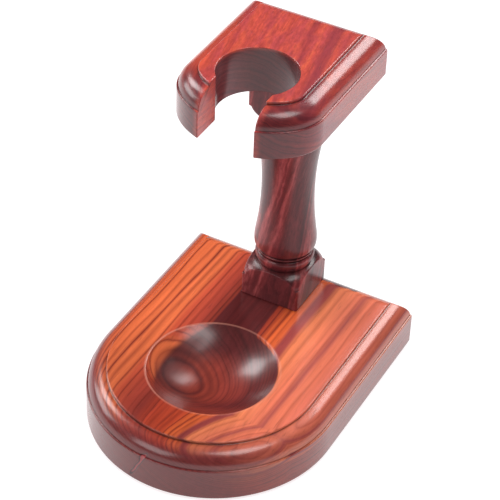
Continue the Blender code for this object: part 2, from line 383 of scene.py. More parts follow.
def base_rosewood():
    """Orange board with maroon growth lines along Y over dark heartwood, which the dish cuts into."""
    g = Finish("base_rosewood", **LACQUER)
    x, y, z = g.split(g.at)
    depth = g.less(BASE.top / MM, z)
    from_dish = g.distance(x, g.less(y, DISH_Y / MM))
    wander = g.sway((0.028, 0.010, 0.045))
    tremor = g.sway((0.22, 0.030, 0.25), detail=3.0)
    layers = base_layers(g, wander, tremor, depth, from_dish)
    across = g.maths("DIVIDE", g.less(layers, BASE.top / MM), LAYER_SLOPE)
    beat = g.noise_along(layers, 0.8, detail=1.0)
    ring = g.maths("FRACT", g.plus(g.times(layers, 1 / LAYER_PERIOD), g.times(beat, 1.1)))
    colour, line, strong = base_top_colour(g, across, ring, layers)

    # the strip between the dish and the post: red at its sides, heartwood along its middle
    strip = g.size(g.plus(x, 3.5, g.times(wander, 6.0), g.times(tremor, 2.4)))
    behind = g.between(y, 0.0, 9.0)
    red = g.mix(line, srgb(150, 54, 38), srgb(96, 34, 28))
    colour = g.mix(g.times(g.times(g.between(strip, 14.5, 9.0), behind), 0.75), colour, red)

    # darker towards the front left, and maroon below the top edge, most of all at the left and front
    colour = g.scaled(colour, g.between(g.plus(y, g.times(x, 0.5)), -50.0, 0.0, 0.70, 1.0))
    below = g.times(g.between(depth, 0.8, 3.2), g.between(from_dish, 24.0, 30.0))
    below = g.times(below, g.between(g.plus(x, g.times(y, 0.35)), 0.0, 28.0, 0.94, 0.45))
    maroon = g.mix(g.times(strong, 0.7), srgb(116, 42, 46), srgb(76, 26, 32))
    colour = g.mix(below, colour, maroon)

    # heartwood starts just under the top, deeper at the left of the dish and nowhere near the sides
    reach = g.plus(
        0.25,
        g.between(x, -12.0, -20.0, 0.0, 1.5),
        g.between(g.size(x), 24.0, 31.0, 0.0, 9.0),
        g.times(g.times(g.between(strip, 9.5, 6.0), behind), -1.6),
        g.times(tremor, 0.9),
    )
    heart = g.between(depth, reach, g.plus(reach, g.between(x, -10.0, -18.0, 0.5, 2.2)))
    heart = g.times(heart, g.between(y, -45.0, -37.0, 0.20, 0.96))
    colour = g.mix(heart, colour, heart_colour(g, ring, layers, depth, y))

    # a painted highlight runs along the dish's rim, strongest at its left, and the healed check is dark
    # with a red middle
    rim = g.size(g.less(from_dish, DISH_RADIUS / MM + 0.25))
    rim_highlight = g.times(g.between(rim, 0.60, 0.10), g.between(x, -20.0, 10.0, 0.42, 0.20))
    colour = g.mix(rim_highlight, colour, srgb(214, 146, 126))
    scar = g.attribute("scar")
    colour = g.mix(g.between(scar, 0.05, 0.35), colour, srgb(70, 24, 28))
    colour = g.mix(g.between(scar, 0.40, 0.85, 0.0, 0.8), colour, srgb(190, 76, 78))
    finish_wood(g, colour, ALONG_Y, 0.62, strong)
    return g.material


def plate_rosewood():
    """Red, softly mottled wood with purple streaks; its grain runs a little aslant."""
    g = Finish("plate_rosewood", turn=(0.0, 0.0, -10.0), **LACQUER)
    x, y, z = g.split(g.at)
    depth = g.less(PLATE.top / MM, z)
    wander = g.sway((0.05, 0.015, 0.06))
    tremor = g.sway((0.35, 0.06, 0.35), detail=3.0)
    layers = g.plus(z, g.times(x, 0.42), g.times(wander, 5.0), g.times(tremor, 1.8))
    band = g.noise_along(layers, 0.9, detail=3.0, roughness=0.6)
    colour = g.ramp(
        band,
        [
            (0.25, srgb(158, 56, 52)),
            (0.42, srgb(180, 68, 58)),
            (0.55, srgb(194, 76, 60)),
            (0.72, srgb(204, 86, 62)),
        ],
    )
    mottle = g.noise((0.20, 0.07, 0.20), detail=4.0, roughness=0.6)
    colour = g.mix(g.between(mottle, 0.40, 0.64, 0.0, 0.85), colour, srgb(172, 66, 68))
    fleck = g.noise((0.9, 0.32, 0.9), detail=4.0, roughness=0.7)
    colour = g.scaled(colour, g.between(fleck, 0.34, 0.66, 0.78, 1.16, smooth=False))

    # orange along the left edge, purple streaks on the right
    left = g.between(g.plus(x, g.times(wander, 12.0)), -13.0, -20.0, 0.0, 0.6)
    colour = g.mix(left, colour, srgb(218, 88, 46))
    run = g.plus(x, g.times(y, 0.02), g.times(depth, -0.5), g.times(wander, 3.0), g.times(tremor, 1.6))
    streaks = []
    for middle, half, core, full in PLATE_STREAKS:
        streaks.append(g.between(g.size(g.less(run, middle)), half, core, 0.0, full))
    colour = g.mix(g.maths("MAXIMUM", *streaks), colour, srgb(128, 46, 58))

    # darker below the top edge, most of all at the horns; on the wall of the hole, painted shade over its
    # darker end grain
    x, y, _ = g.split(g.straight)
    below = g.times(g.between(depth, 0.2, 1.8), g.between(g.size(x), 10.5, 13.0))
    below = g.times(below, g.between(y, 12.0, -1.0, 0.40, 0.92))
    colour = g.mix(below, colour, g.mix(g.between(band, 0.35, 0.65), srgb(88, 30, 38), srgb(120, 42, 46)))
    # painted shade on the wall of the hole
    wall = g.between(g.distance(x, g.less(y, HOLE_Y / MM)), 14.5, 14.0, 0.0, 0.85)
    wall = g.times(wall, g.times(g.between(depth, 0.1, 1.5), g.between(y, 0.0, 6.0)))
    colour = g.mix(wall, colour, g.mix(g.between(band, 0.4, 0.6), srgb(76, 30, 38), srgb(106, 44, 50)))
    finish_wood(g, colour, ALONG_Y, 0.45)
    return g.material


def post_rosewood():
    """Dark maroon wood whose grain climbs the post a little aslant, with painted light making the right of
    the vase paler.
    """
    g = Finish("post_rosewood", turn=(5.0, -9.0, 0.0), **THIN_LACQUER)
    x, y, z = g.split(g.at)
    wander = g.sway((0.09, 0.09, 0.022))
    tremor = g.sway((0.45, 0.45, 0.09), detail=4.0, roughness=0.6)
    fleck = g.sway((1.1, 1.1, 0.30), detail=4.0, roughness=0.7)
    layers = g.plus(g.times(x, 0.85), g.times(y, 0.5), g.times(wander, 9.0), g.times(tremor, 1.6))
    band = g.noise_along(layers, 0.24)
    # painted light: the right of the vase is made paler
    side = g.times(g.between(x, 0.0, 8.0, 0.0, 0.20), g.between(z, 30.0, 42.0))
    colour = g.ramp(
        g.plus(band, side, g.times(tremor, 0.20), g.times(fleck, 0.30)),
        [
            (0.28, srgb(66, 23, 28)),
            (0.43, srgb(84, 30, 34)),
            (0.56, srgb(112, 42, 45)),
            (0.74, srgb(168, 78, 78)),
        ],
    )
    finish_wood(g, colour, ALONG_Z, 0.6)
    return g.material


def beech():
    """Plain pale dowel wood with short darker flecks."""
    g = Finish("beech", Specular_IOR_Level=0.3)
    fleck = g.noise((1.2, 1.2, 0.15), detail=3.0)
    g.set("Base Color", g.ramp(fleck, [(0.35, srgb(206, 170, 124)), (0.65, srgb(176, 134, 88))]))
    g.set("Roughness", g.between(fleck, 0.3, 0.7, 0.55, 0.7))
    g.set("Normal", g.relief(fleck, 0.00005, 0.4))
    return g.material


def zinc_steel():
    """Zinc-plated steel, faintly mottled."""
    g = Finish("zinc_steel", Metallic=1.0)
    cloud = g.noise((0.9, 0.9, 0.9), detail=4.0)
    g.set("Base Color", g.ramp(cloud, [(0.3, srgb(186, 188, 192)), (0.7, srgb(208, 206, 196))]))
    g.set("Roughness", g.between(cloud, 0.3, 0.7, 0.26, 0.42))
    g.set("Normal", g.relief(g.noise((6.0, 6.0, 6.0)), 0.00002, 0.5))
    return g.material


def pressed_felt():
    """Dark pressed wool felt."""
    g = Finish("pressed_felt", Specular_IOR_Level=0.15, Sheen_Weight=0.6, Sheen_Roughness=0.6)
    tuft = g.noise((3.0, 3.0, 3.0), detail=5.0, roughness=0.7)
    g.set("Base Color", g.ramp(tuft, [(0.3, srgb(34, 30, 30)), (0.7, srgb(72, 66, 64))]))
    g.set("Roughness", g.between(tuft, 0.3, 0.7, 0.85, 1.0))
    g.set("Normal", g.relief(tuft, 0.0002, 0.8))
    return g.material


def pale_floor():
    """A near-white sweep that glows a little, so that it stays clean round the stand."""
    g = Finish("pale_floor", Specular_IOR_Level=0.1)
    cloud = g.noise((0.01, 0.01, 0.01))
    g.set("Base Color", g.ramp(cloud, [(0.3, srgb(160, 160, 162)), (0.7, srgb(166, 166, 166))]))
    g.set("Roughness", g.between(cloud, 0.3, 0.7, 0.8, 0.9))
    g.set("Emission Color", srgb(255, 251, 252))
    g.set("Emission Strength", 0.76)
    return g.material


# ------------------------------------------------------------------ mesh writing
def write_smooth(shaped, mesh):
    """Turns every face outwards, shades it smooth and writes the mesh."""
    bmesh.ops.recalc_face_normals(shaped, faces=shaped.faces)
    for face in shaped.faces:
        face.smooth = True
    shaped.to_mesh(mesh)
    shaped.free()


def new_piece(name, points, faces, finish, **marks):
    """A closed piece from its points and faces, turned outwards and shaded smooth."""
    mesh = bpy.data.meshes.new(name)
    mesh.from_pydata([tuple(p) for p in points], [], faces)
    for mark, values in marks.items():
        layer = mesh.attributes.new(mark, "FLOAT", "POINT")
        layer.data.foreach_set("value", np.asarray(values, np.float32))
    shaped = bmesh.new()
    shaped.from_mesh(mesh)
    bmesh.ops.remove_doubles(shaped, verts=shaped.verts, dist=MERGE)
    write_smooth(shaped, mesh)
    mesh.materials.append(finish)
    piece = bpy.data.objects.new(name, mesh)
    bpy.context.scene.collection.objects.link(piece)
    return piece


def settle(piece):
    """Turns a piece's modifiers into plain mesh."""
    bpy.context.view_layer.update()
    graph = bpy.context.evaluated_depsgraph_get()
    made = bpy.data.meshes.new_from_object(
        piece.evaluated_get(graph), preserve_all_data_layers=True, depsgraph=graph
    )
    old = piece.data
    piece.modifiers.clear()
    piece.data = made
    if old.users == 0:
        bpy.data.meshes.remove(old)
    made.name = piece.name


def carve(piece, shape):
    """Cuts a closed shape out of a piece with a Boolean, and throws the cutter away."""
    mesh = bpy.data.meshes.new("cutter")
    shape.to_mesh(mesh)
    shape.free()
    cutter = bpy.data.objects.new("cutter", mesh)
    bpy.context.scene.collection.objects.link(cutter)
    cut = piece.modifiers.new("cut", "BOOLEAN")
    cut.object = cutter
    cut.solver = "EXACT"
    settle(piece)
    bpy.data.objects.remove(cutter)
    bpy.data.meshes.remove(mesh)


def bore(piece, x, y, low, high, radius):
    """Drills an upright round hole."""
    drill = bmesh.new()
    bmesh.ops.create_cone(
        drill, cap_ends=True, segments=DRILL_SIDES, radius1=radius, radius2=radius, depth=high - low
    )
    bmesh.ops.translate(drill, verts=drill.verts, vec=(x, y, (low + high) / 2))
    carve(piece, drill)


def even_shading(piece, sharp=38.0):
    """Large flats keep their own normals, and only true corners break the shading."""
    shaped = bmesh.new()
    shaped.from_mesh(piece.data)
    for edge in shaped.edges:
        edge.smooth = edge.calc_face_angle(0.0) < math.radians(sharp)
    for face in shaped.faces:
        face.smooth = True
    shaped.to_mesh(piece.data)
    shaped.free()
    weighted = piece.modifiers.new("weighted", "WEIGHTED_NORMAL")
    weighted.keep_sharp = True
    settle(piece)


def grid_faces(rows, columns, closed=False):
    """Quads between rows of points that are stored one row after another."""
    faces = []
    for r in range(rows - 1):
        low, high = r * columns, (r + 1) * columns
        for c in range(columns if closed else columns - 1):
            d = (c + 1) % columns
            faces.append((low + c, low + d, high + d, high + c))
    return faces


# ------------------------------------------------------------------ the two boards
# how many points half an outline has round its front and along its side, its corner and its back
Counts = namedtuple("Counts", "front side corner back")
BASE_COUNTS = Counts(190, 22, 6, 18)
PLATE_COUNTS = Counts(72, 34, 6, 22)
FLAT_STEPS = 9
RIM_STEPS = 4
WALL_STEPS = 8
MOUTH_START = 0.0004
UP, DOWN = (0.0, 0.0, 1.0), (0.0, 0.0, -1.0)


def board_profile(board, side_steps, round_steps):
    """(inset, height, crease) of the board's edge, from its underside to the flat of its top.

    Close points on either side of an inner corner keep its painted shade narrow."""
    side_low, side_high = board.bottom + FOOT_ARRIS, board.arris - LEDGE_ARRIS
    rows = []
    for a in quarter_turn(4):
        rows.append((FOOT_ARRIS * (1 - math.sin(a)), side_low - FOOT_ARRIS * math.cos(a), 0.0))
    for i in range(1, side_steps + 1):
        rows.append((0.0, side_low + (side_high - side_low) * i / side_steps, 0.0))
    for a in quarter_turn(4, 1):
        rows.append((LEDGE_ARRIS * (1 - math.cos(a)), side_high + LEDGE_ARRIS * math.sin(a), 0.0))

    # the narrow ledge, then the quarter round up to the foot of the step
    step_foot = board.top - STEP_DEPTH
    # the third value of each row is painted shade, strongest at the ledge and at the foot of the step
    rows.append((LEDGE_WIDTH - 0.00008, board.arris, 0.45))
    rows.append((LEDGE_WIDTH, board.arris + 0.00004, 0.6))
    for i, a in enumerate(quarter_turn(round_steps, 1)[:-1], 1):
        inset = LEDGE_WIDTH + (MOULDING_INSET - LEDGE_WIDTH) * (1 - math.cos(a))
        height = board.arris + (step_foot - board.arris) * math.sin(a)
        rows.append((inset, height, max(0.0, 0.4 - i * 0.2)))
    rows.append((MOULDING_INSET - 0.00012, step_foot, 0.9))

    # the step, its eased shoulder and the slight crown
    shoulder = board.top - board.crown - SHOULDER_ARRIS
    rows.append((MOULDING_INSET, step_foot + 0.00006, 1.0))
    rows.append((MOULDING_INSET, step_foot + 0.00030, 0.8))
    rows.append((MOULDING_INSET, (step_foot + shoulder) / 2 + 0.0001, 0.25))
    for a in quarter_turn(5):
        inset = MOULDING_INSET + SHOULDER_ARRIS * (1 - math.cos(a))
        rows.append((inset, shoulder + SHOULDER_ARRIS * math.sin(a), 0.0))
    crown_steps = 6
    for i in range(1, crown_steps + 1):
        t = i / crown_steps
        inset = MOULDING_INSET + SHOULDER_ARRIS + board.crown_width * t
        rows.append((inset, board.top - board.crown * (1 - t) ** 2, 0.0))
    return rows


def back_edge(board, inset, z):
    """How far back a level of the board reaches: its back edge is rounded over from the top."""
    below = min(max(board.top - z, 0.0), BACK_ROUND)
    y = board.back - BACK_ROUND + math.sqrt(BACK_ROUND**2 - (BACK_ROUND - below) ** 2)
    if z < board.bottom + FOOT_ARRIS:
        y -= inset
    return y


def outline(board, inset, z, start_half, counts):
    """One level of a board, from its front round the left side and the back to its front again.

    It starts half a mouth's width to the left of the middle, or at the middle where there's no mouth."""
    half = board.width / 2 - inset
    depth = board.front_depth - inset
    centre = board.back - board.length + board.front_depth
    back = back_edge(board, inset, z)
    left = []
    start = math.asin(start_half / half)
    for i in range(counts.front):
        a = start + (math.pi / 2 - start) * i / counts.front
        left.append((-half * math.sin(a), centre - depth * math.cos(a)))
    for i in range(counts.side):
        left.append((-half, centre + (back - CORNER_ROUND - centre) * i / counts.side))
    for a in quarter_turn(counts.corner)[:-1]:
        left.append((-half + CORNER_ROUND * (1 - math.cos(a)), back - CORNER_ROUND * (1 - math.sin(a))))
    for i in range(counts.back):
        left.append((-(half - CORNER_ROUND) * (1 - i / counts.back), back))
    points = left + [(0.0, back)] + [(-px, py) for px, py in reversed(left)]
    if start_half == 0.0:
        points.pop()
    return np.array([(px, py, z) for px, py in points])


def dish_profile():
    """(radius, height) from the flat over the eased rim and down the bowl, and the bowl's lowest height."""
    rim_steps, bowl_steps = 7, 30
    ball = (DISH_RADIUS**2 + DISH_DEPTH**2) / (2 * DISH_DEPTH)
    centre = BASE.top + ball - DISH_DEPTH
    rim = math.sqrt((ball + DISH_RIM_EASE) ** 2 - (centre - BASE.top + DISH_RIM_EASE) ** 2)
    meet = math.asin(rim / (ball + DISH_RIM_EASE))
    profile = []
    for i in range(rim_steps + 1):
        a = meet * i / rim_steps
        profile.append((rim - DISH_RIM_EASE * math.sin(a), BASE.top - DISH_RIM_EASE * (1 - math.cos(a))))
    for i in range(1, bowl_steps):
        a = meet * (1 - i / bowl_steps)
        profile.append((ball * math.sin(a), centre - ball * math.cos(a)))
    return profile, centre - ball


# the healed check in the front edge: its ends across and up (mm), its half width and its depths
CHECK_TOP, CHECK_FOOT = (-0.9, 15.4), (-8.0, 1.5)
CHECK_HALF_WIDTH = 0.42
CHECK_DEPTH, CHIP_DEPTH = 0.30, 0.26
CHIP_ALONG = 3.0


def healed_check(points):
    """Presses a shallow crease and a chip into the front edge; hands back its strength at each point."""
    x, y, z = points[:, 0] / MM, points[:, 1], points[:, 2] / MM
    run_x, run_z = CHECK_FOOT[0] - CHECK_TOP[0], CHECK_FOOT[1] - CHECK_TOP[1]
    run = math.hypot(run_x, run_z)
    ux, uz = run_x / run, run_z / run
    along = (x - CHECK_TOP[0]) * ux + (z - CHECK_TOP[1]) * uz
    away = (x - CHECK_TOP[0]) * uz - (z - CHECK_TOP[1]) * ux + 0.08 * np.sin(along * 1.3)
    on_front = (y < -0.040) & (z < 17.0)
    ends = np.clip(along / 1.6, 0, 1) * np.clip((run - along) / 3.0, 0, 1)
    crease = np.exp(-((away / CHECK_HALF_WIDTH) ** 2)) * ends * on_front
    chip = np.exp(-(((along - CHIP_ALONG) / 1.3) ** 2) - ((away - 0.5) / 0.7) ** 2) * on_front
    points[:, 1] += (CHECK_DEPTH * crease + CHIP_DEPTH * chip) * MM
    return np.clip(crease + chip, 0.0, 1.0)


def make_base(finish):
    """The dished board with its moulded edge, the screw's hole and the drillings for the felt pads."""
    profile = board_profile(BASE, 26, 26)
    rows = [outline(BASE, inset, z, 0.0, BASE_COUNTS) for inset, z, _ in profile]
    edge, flat = rows[-1], profile[-1][1]
    count = len(edge)
    angles = np.arctan2(edge[:, 1] - DISH_Y, edge[:, 0])
    bowl, bowl_floor = dish_profile()
    circle = np.stack([np.cos(angles), np.sin(angles)], 1)
    rim = np.column_stack([circle * bowl[0][0] + (0.0, DISH_Y), np.full(count, flat)])
    rows += [edge + (rim - edge) * i / FLAT_STEPS for i in range(1, FLAT_STEPS)]
    for radius, z in bowl:
        rows.append(np.column_stack([circle * radius + (0.0, DISH_Y), np.full(count, z)]))
    points = np.concatenate([*rows, [(0.0, DISH_Y, bowl_floor)]])
    scar = healed_check(points)

    faces = grid_faces(len(rows), count, closed=True)
    pole, start = len(points) - 1, (len(rows) - 1) * count
    faces += [(start + i, start + (i + 1) % count, pole) for i in range(count)]
    faces.append(tuple(range(count)))
    # painted shade for the moulding's inner corners, one value to each row of the edge
    crease = np.zeros(len(points))
    crease[: len(profile) * count] = np.repeat([value for _, _, value in profile], count)
    piece = new_piece("dished_base", points, faces, finish, crease=crease, scar=scar)

    under = BASE.bottom - DRILL_PAST
    bore(piece, 0.0, POST_Y, under, BASE.top + DRILL_PAST, SCREW_HOLE)
    bore(piece, 0.0, POST_Y, under, washer_high.z + CLEARANCE, WASHER_SEAT)
    for foot in FEET:
        low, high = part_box(foot)
        middle = (low + high) / 2
        bore(piece, middle.x, middle.y, under, high.z + CLEARANCE, (high.x - low.x) / 2 + CLEARANCE)
    even_shading(piece)
    return piece


def keyhole(offset, start_y, counts):
    """Points up the mouth's left cheek, round the hole and down its right cheek, set back into the wood.

    Each comes with the level direction towards the opening. There are as many as in the board's outline."""
    cheek, bend = counts.front // 3, 9
    rest = sum(counts) - cheek - bend
    mouth, radius, reach = MOUTH_HALF + offset, HOLE_RADIUS + offset, CHEEK_CORNER - offset
    turn_x = -(MOUTH_HALF + CHEEK_CORNER)
    turn_y = HOLE_Y - math.sqrt((HOLE_RADIUS + CHEEK_CORNER) ** 2 - turn_x**2)
    towards = math.atan2(HOLE_Y - turn_y, -turn_x)
    first = math.atan2(turn_y - HOLE_Y, turn_x) + 2 * math.pi
    left = []
    for i in range(cheek):
        left.append((-mouth, start_y + (turn_y - start_y) * i / cheek, 1.0, 0.0))
    for i in range(bend):
        a = towards * i / bend
        left.append((turn_x + reach * math.cos(a), turn_y + reach * math.sin(a), math.cos(a), math.sin(a)))
    for i in range(rest):
        a = first + (math.pi / 2 - first) * i / rest
        left.append((radius * math.cos(a), HOLE_Y + radius * math.sin(a), -math.cos(a), -math.sin(a)))
    crown = [(0.0, HOLE_Y + HOLE_RADIUS + offset, 0.0, -1.0)]
    points = left + crown + [(-px, py, -hx, hy) for px, py, hx, hy in reversed(left)]
    return np.array(points)


def cheek_normals(edge):
    """Outward directions of the section that the mouth's cheeks cut, from the underside to the top."""
    into = 0.001
    section = [(inset, z) for inset, z, _ in edge]
    section = [(section[0][0] + into, PLATE.bottom), *section, (section[-1][0] + into, PLATE.top)]
    normals = []
    for before, after in zip(section, section[2:]):
        run = Vector((after[0] - before[0], after[1] - before[1])).normalized()
        normals.append((0.0, -run.y, run.x))
    return [DOWN] * FLAT_STEPS + normals + [UP] * FLAT_STEPS


def opening_border(inner, normals):
    """Every point round the plate's opening, with the way to the opening and the outward normal there."""
    count, last = len(inner), len(normals) - 1
    ways = [(*way, 0.0) for way in inner[:, 2:]]
    border = [(k * count, (1.0, 0.0, 0.0), normals[k]) for k in range(last + 1)]
    border += [(last * count + c, ways[c], UP) for c in range(1, count - 1)]
    border += [(k * count + count - 1, (-1.0, 0.0, 0.0), normals[k]) for k in range(last, -1, -1)]
    border += [(c, ways[c], DOWN) for c in range(count - 2, 0, -1)]
    loop, towards, outward = zip(*border)
    return list(loop), np.array(towards), np.array(outward)


def ease_rim(points, faces, loop, towards, outward):
    """Rounds the corner into the opening, and hands back all points and the inner loop."""
    ring, start = len(loop), len(points)
    strips = []
    inner = loop
    for s, a in enumerate(quarter_turn(RIM_STEPS, 1)):
        strips.append(points[loop] + RIM_EASE * (towards * math.sin(a) - outward * (1 - math.cos(a))))
        outer, inner = inner, [start + s * ring + i for i in range(ring)]
        faces += [(outer[i - 1], outer[i], inner[i], inner[i - 1]) for i in range(ring)]
    return np.concatenate([points, *strips]), inner


def line_opening(points, faces, loop, height, count):
    """The mouth's two cheeks, then the wall of the hole between its upper and lower rims."""
    left_cheek, loop = loop[:height], loop[height:]
    over, loop = loop[: count - 2], loop[count - 2 :]
    right_cheek, under = loop[:height], loop[height:]
    upper = [left_cheek[-1], *over, right_cheek[0]]
    lower = [left_cheek[0], *reversed(under), right_cheek[-1]]
    strands = [upper]
    for s in range(1, WALL_STEPS):
        strands.append([len(points) + i for i in range(len(upper))])
        points = np.concatenate([points, points[upper] + (points[lower] - points[upper]) * s / WALL_STEPS])
    faces.append((*left_cheek, *[strand[0] for strand in strands[1:]]))
    faces.append((*right_cheek, *[strand[-1] for strand in reversed(strands[1:])]))
    strands.append(lower)
    for above, below in zip(strands, strands[1:]):
        faces += [(above[i], above[i + 1], below[i + 1], below[i]) for i in range(len(upper) - 1)]
    return points


def make_plate(finish):
    """The top plate, moulded like the base, with the hanging hole, its open mouth and the dowel's hole."""
    edge = board_profile(PLATE, 16, 22)
    levels = [outline(PLATE, inset, z, MOUTH_HALF + RIM_EASE, PLATE_COUNTS) for inset, z, _ in edge]
    inner = keyhole(RIM_EASE, levels[-1][0][1] + MOUTH_START, PLATE_COUNTS)
    count = len(inner)
    over = np.column_stack([inner[:, :2], np.full(count, PLATE.top)])
    under = np.column_stack([inner[:, :2], np.full(count, PLATE.bottom)])
    rows = [under + (levels[0] - under) * i / FLAT_STEPS for i in range(FLAT_STEPS)]
    rows += levels
    rows += [levels[-1] + (over - levels[-1]) * i / FLAT_STEPS for i in range(1, FLAT_STEPS + 1)]
    points = np.concatenate(rows)
    faces = grid_faces(len(rows), count)
    loop, towards, outward = opening_border(inner, cheek_normals(edge))
    points, eased = ease_rim(points, faces, loop, towards, outward)
    points = line_opening(points, faces, eased, len(rows), count)

    # painted shade for the moulding's inner corners, one value to each row
    crease_shade = np.zeros(len(rows))
    crease_shade[FLAT_STEPS:-FLAT_STEPS] = [value for _, _, value in edge]
    crease = np.zeros(len(points))
    rim_start = len(rows) * count
    crease[:rim_start] = np.repeat(crease_shade, count)
    crease[rim_start : rim_start + RIM_STEPS * len(loop)] = np.tile(crease[loop], RIM_STEPS)
    piece = new_piece("hanging_plate", points, faces, finish, crease=crease)
    bore(piece, 0.0, POST_Y, PLATE.bottom - DRILL_PAST, dowel_high.z + DRILL_PAST, DOWEL_HOLE)
    even_shading(piece)
    return piece


# ------------------------------------------------------------------ turned pieces
TURNING_INPUTS = (
    ("Profile", "NodeSocketObject", None),
    ("Columns", "NodeSocketInt", 96),
    ("Rows", "NodeSocketInt", 2),
    ("Axis", "NodeSocketVector", (0.0, 0.0, 0.0)),
    ("Half side", "NodeSocketFloat", 1.0),
    ("Squareness", "NodeSocketFloat", 2.0),
    ("Corner crowding", "NodeSocketFloat", 0.0),
    ("Softness", "NodeSocketFloat", 0.0),
    ("Thread depth", "NodeSocketFloat", 0.0),
    ("Thread pitch", "NodeSocketFloat", 0.0016),
    ("Thread start", "NodeSocketFloat", 0.0),
    ("Thread end", "NodeSocketFloat", 0.0),
    ("Finish", "NodeSocketMaterial", None),
)


def turning_tree():
    """A profile turned about an upright axis, kept inside a square blank, with or without a thread."""
    tree = bpy.data.node_groups.new("turning", "GeometryNodeTree")
    tree.interface.new_socket("Geometry", in_out="OUTPUT", socket_type="NodeSocketGeometry")
    for name, kind, value in TURNING_INPUTS:
        socket = tree.interface.new_socket(name, in_out="INPUT", socket_type=kind)
        if value is not None:
            socket.default_value = value
    g = Graph(tree)
    given = g.add("NodeGroupInput").outputs
    sheet = g.add(
        "GeometryNodeMeshGrid",
        {
            "Size X": 1.0,
            "Size Y": 1.0,
            "Vertices X": g.plus(given["Columns"], 1.0),
            "Vertices Y": given["Rows"],
        },
    ).outputs["Mesh"]
    u, v, _ = g.split(g.add("GeometryNodeInputPosition").outputs[0])
    u = g.plus(u, 0.5)
    row = g.maths("ROUND", g.times(g.plus(v, 0.5), g.less(given["Rows"], 1.0)))
    profile = g.add("GeometryNodeObjectInfo", {"Object": given["Profile"]}).outputs["Geometry"]

    def at_row(kind, value):
        node = g.add("GeometryNodeSampleIndex", data_type=kind, clamp=True)
        for socket, source in (("Geometry", profile), ("Value", value), ("Index", row)):
            g.put(node.inputs[socket], source)
        return node.outputs[0]

    radius, _, z = g.split(at_row("FLOAT_VECTOR", g.add("GeometryNodeInputPosition").outputs[0]))
    # each row's painted shade for the grooves, read from the profile
    named = g.add("GeometryNodeInputNamedAttribute", {"Name": "crease"}, data_type="FLOAT")
    crease_shade = at_row("FLOAT", named.outputs[0])

    # the radius stays inside the blank, a square with soft corners
    turn = g.times(u, math.tau)
    crowd = g.times(given["Corner crowding"], g.maths("SINE", g.times(u, 4 * math.tau)))
    angle = g.plus(turn, crowd)
    cosine, sine = g.maths("COSINE", angle), g.maths("SINE", angle)
    power = given["Squareness"]
    corner = g.plus(*[g.maths("POWER", g.size(side), power) for side in (cosine, sine)])
    blank = g.times(given["Half side"], g.maths("POWER", corner, g.maths("DIVIDE", -1.0, power)))
    radius = g.maths("SMOOTH_MIN", radius, blank, given["Softness"])

    # the thread climbs one pitch a turn and runs in and out over one pitch
    climb = g.maths("FRACT", g.less(g.maths("DIVIDE", z, given["Thread pitch"]), u))
    tooth = g.less(1.0, g.size(g.less(g.times(climb, 2.0), 1.0)))
    runs_in = g.maths("DIVIDE", g.less(z, given["Thread start"]), given["Thread pitch"], clamp=True)
    runs_out = g.maths("DIVIDE", g.less(given["Thread end"], z), given["Thread pitch"], clamp=True)
    thread = g.times(given["Thread depth"], g.times(tooth, g.times(runs_in, runs_out)))
    radius = g.plus(radius, thread)
    position = g.vector(
        "ADD", g.join(g.times(radius, cosine), g.times(radius, sine), z), given["Axis"]
    )

    stored = g.add("GeometryNodeStoreNamedAttribute", data_type="FLOAT", domain="POINT")
    for socket, source in (("Geometry", sheet), ("Name", "crease"), ("Value", crease_shade)):
        g.put(stored.inputs[socket], source)
    moved = g.add(
        "GeometryNodeSetPosition", {"Geometry": stored.outputs[0], "Position": position}
    ).outputs[0]
    merged = g.add("GeometryNodeMergeByDistance", {"Geometry": moved, "Distance": 10 * MERGE}).outputs[0]
    whole = g.add("GeometryNodeRealizeInstances", {"Geometry": merged}).outputs[0]
    finished = g.add(
        "GeometryNodeSetMaterial", {"Geometry": whole, "Material": given["Finish"]}
    ).outputs[0]
    g.add("NodeGroupOutput", [finished])
    return tree


def turn_piece(name, profile, finish, crease=None, **inputs):
    """Runs the turning tree on a (radius, height) profile and keeps the plain mesh."""
    line = bpy.data.meshes.new("profile")
    line.from_pydata([(r, 0.0, z) for r, z in profile], [(i, i + 1) for i in range(len(profile) - 1)], [])
    layer = line.attributes.new("crease", "FLOAT", "POINT")
    layer.data.foreach_set("value", np.asarray(crease or [0.0] * len(profile), np.float32))
    guide = bpy.data.objects.new("profile", line)
    bpy.context.scene.collection.objects.link(guide)
    piece = bpy.data.objects.new(name, bpy.data.meshes.new(name))
    bpy.context.scene.collection.objects.link(piece)
    lathe = piece.modifiers.new("turning", "NODES")
    lathe.node_group = turning
    given = {key.replace("_", " "): value for key, value in inputs.items()}
    given.update({"Profile": guide, "Rows": len(profile), "Finish": finish})
    for item in turning.interface.items_tree:
        if item.in_out == "INPUT" and item.name in given:
            lathe[item.identifier] = given[item.name]
    settle(piece)
    bpy.data.objects.remove(guide)
    bpy.data.meshes.remove(line)
    shaped = bmesh.new()
    shaped.from_mesh(piece.data)
    bmesh.ops.dissolve_degenerate(shaped, dist=MERGE, edges=shaped.edges)
    write_smooth(shaped, piece.data)
    return piece


def eased(t, p, q, r, s):
    """A value between q and r that leaves and arrives in line with its neighbours p and s."""
    return 0.5 * (2 * q + (r - p) * t + (2 * p - 5 * q + 4 * r - s) * t**2 + (3 * q - p - 3 * r + s) * t**3)


def smooth_run(points, step):
    """A curve through the given (radius, height) points, sampled finely."""
    ends = [points[0], *points, points[-1]]
    run = [points[0]]
    for a, b, c, d in zip(ends, ends[1:], ends[2:], ends[3:]):
        pieces = max(1, round(math.dist(b, c) / step))
        for i in range(1, pieces + 1):
            run.append(tuple(eased(i / pieces, *values) for values in zip(a, b, c, d)))
    return run


def straight_run(start, end, step):
    pieces = max(1, round(math.dist(start, end) / step))
    return [tuple(a + (b - a) * i / pieces for a, b in zip(start, end)) for i in range(pieces + 1)]


